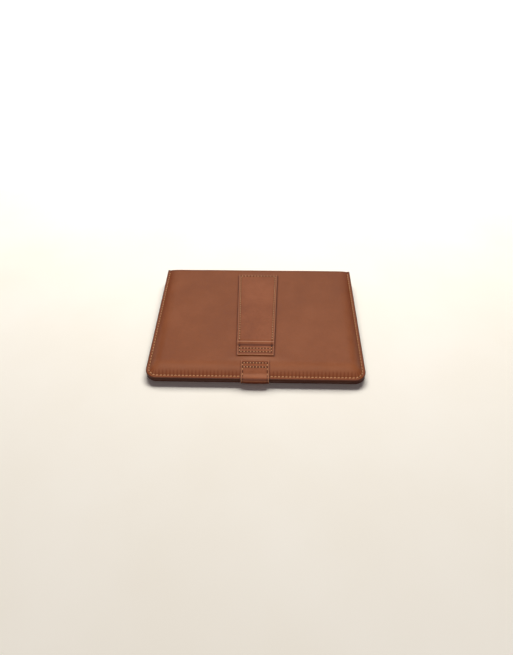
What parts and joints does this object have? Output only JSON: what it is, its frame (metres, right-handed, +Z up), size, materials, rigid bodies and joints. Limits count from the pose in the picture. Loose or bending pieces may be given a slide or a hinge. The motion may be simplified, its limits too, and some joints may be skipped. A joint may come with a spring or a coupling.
{
  "type": "e-reader in a leather folio",
  "caption": "E-reader held in a closed brown leather folio with a moulded back cover, a magnetic closure tab and a hinged stand flap.",
  "frame": {"origin": "middle of the footprint of the closed folio, on the table that it lies on", "axes": "+Z up, out of the back cover; +X along the spine; -Y towards the closure tab"},
  "size_m": [0.186, 0.1356, 0.0164],
  "materials": {
    "leather": "brown split-grain cowhide, satin finish",
    "tab_leather": "brown cowhide strap, satin finish, cut edges",
    "suede": "brown microfibre suede lining",
    "fibreboard": "pressed grey-brown stiffening board",
    "elastic": "black woven elastic",
    "reader_plastic": "moulded graphite ABS, fine texture",
    "key_plastic": "moulded dark ABS",
    "screen": "matt e-paper panel",
    "steel": "zinc-plated sheet steel",
    "magnet": "nickel-plated magnet",
    "alloy": "die-cast alloy frame",
    "solder_mask": "green epoxy circuit board",
    "cell_wrap": "foil-wrapped lithium cell",
    "foam": "black closed-cell foam",
    "flex": "amber polyimide ribbon",
    "chip": "black epoxy package",
    "clear": "clear moulded light pipe"
  },
  "bodies": {
    "front_cover": {"front_cover_leather": "leather", "front_cover_board": "fibreboard", "front_cover_lining": "suede", "tab_keeper_plate": "steel"},
    "spine": {"spine_leather": "leather", "spine_stiffener": "fibreboard", "spine_lining": "suede"},
    "back_cover": {"back_cover_leather": "leather", "back_cover_board": "fibreboard", "back_cover_lining": "suede", "flap_keeper_plate": "steel", "tab_anchor": "tab_leather", "flap_anchor": "leather", "corner_loop_near_left": "elastic", "corner_loop_near_right": "elastic", "corner_loop_far_left": "elastic", "corner_loop_far_right": "elastic", "reader_bezel": "reader_plastic", "reader_rear_shell": "reader_plastic", "screen_gasket": "foam", "screen_panel": "screen", "inner_frame": "alloy", "battery": "cell_wrap", "main_board": "solder_mask", "shield_can": "steel", "memory_chip": "chip", "board_screw_1": "steel", "board_screw_2": "steel", "board_screw_3": "steel", "board_screw_4": "steel", "screen_ribbon": "flex", "keypad_board": "solder_mask", "page_board_near": "solder_mask", "page_board_far": "solder_mask", "charging_socket": "steel", "charge_light_lens": "clear"},
    "tab_riser": {"tab_riser": "tab_leather"},
    "tab_tip": {"tab_tip": "tab_leather", "tab_magnet": "magnet"},
    "stand_flap": {"flap_leather": "leather", "flap_lining": "suede", "flap_stiffener": "fibreboard", "flap_magnet": "magnet"},
    "page_key_near_forward": {"page_key_near_forward": "key_plastic"},
    "page_key_near_back": {"page_key_near_back": "key_plastic"},
    "page_key_far_forward": {"page_key_far_forward": "key_plastic"},
    "page_key_far_back": {"page_key_far_back": "key_plastic"},
    "back_key": {"back_key": "key_plastic"},
    "home_key": {"home_key": "key_plastic"},
    "pad_key": {"pad_key": "key_plastic"},
    "menu_key": {"menu_key": "key_plastic"},
    "power_key": {"power_key": "key_plastic"}
  },
  "joints": [
    {"name": "lower_spine_crease", "type": "hinge", "parent": "front_cover", "child": "spine", "pos_m": [0, 0.0668, 0.0014], "axis": [-1, 0, 0], "range_deg": [0, 90]},
    {"name": "upper_spine_crease", "type": "hinge", "parent": "spine", "child": "back_cover", "pos_m": [0, 0.0668, 0.0122], "axis": [-1, 0, 0], "range_deg": [0, 90]},
    {"name": "stand_flap_crease", "type": "hinge", "parent": "back_cover", "child": "stand_flap", "pos_m": [0, -0.0366, 0.0139], "axis": [1, 0, 0], "range_deg": [0, 75]},
    {"name": "tab_shoulder_bend", "type": "hinge", "parent": "back_cover", "child": "tab_riser", "pos_m": [0, -0.06735, 0.00605], "axis": [-1, 0, 0], "range_deg": [0, 90]},
    {"name": "tab_fold_bend", "type": "hinge", "parent": "tab_riser", "child": "tab_tip", "pos_m": [0, -0.06735, 0.0005], "axis": [-1, 0, 0], "range_deg": [0, 90]},
    {"name": "page_key_near_forward_press", "type": "slide", "parent": "back_cover", "child": "page_key_near_forward", "axis": [0, 0, 1], "range_m": [0, 0.0003], "stiffness_N_per_m": 1500},
    {"name": "page_key_near_back_press", "type": "slide", "parent": "back_cover", "child": "page_key_near_back", "axis": [0, 0, 1], "range_m": [0, 0.0003], "stiffness_N_per_m": 1500},
    {"name": "page_key_far_forward_press", "type": "slide", "parent": "back_cover", "child": "page_key_far_forward", "axis": [0, 0, 1], "range_m": [0, 0.0003], "stiffness_N_per_m": 1500},
    {"name": "page_key_far_back_press", "type": "slide", "parent": "back_cover", "child": "page_key_far_back", "axis": [0, 0, 1], "range_m": [0, 0.0003], "stiffness_N_per_m": 1500},
    {"name": "back_key_press", "type": "slide", "parent": "back_cover", "child": "back_key", "axis": [0, 0, 1], "range_m": [0, 0.0003], "stiffness_N_per_m": 1500},
    {"name": "home_key_press", "type": "slide", "parent": "back_cover", "child": "home_key", "axis": [0, 0, 1], "range_m": [0, 0.0003], "stiffness_N_per_m": 1500},
    {"name": "pad_key_press", "type": "slide", "parent": "back_cover", "child": "pad_key", "axis": [0, 0, 1], "range_m": [0, 0.0003], "stiffness_N_per_m": 1500},
    {"name": "menu_key_press", "type": "slide", "parent": "back_cover", "child": "menu_key", "axis": [0, 0, 1], "range_m": [0, 0.0003], "stiffness_N_per_m": 1500},
    {"name": "power_key_press", "type": "slide", "parent": "back_cover", "child": "power_key", "axis": [-1, 0, 0], "range_m": [0, 0.0005], "stiffness_N_per_m": 1500}
  ],
  "couplings": [
    {"joint": "tab_fold_bend", "follows": "tab_shoulder_bend", "ratio": 1}
  ]
}
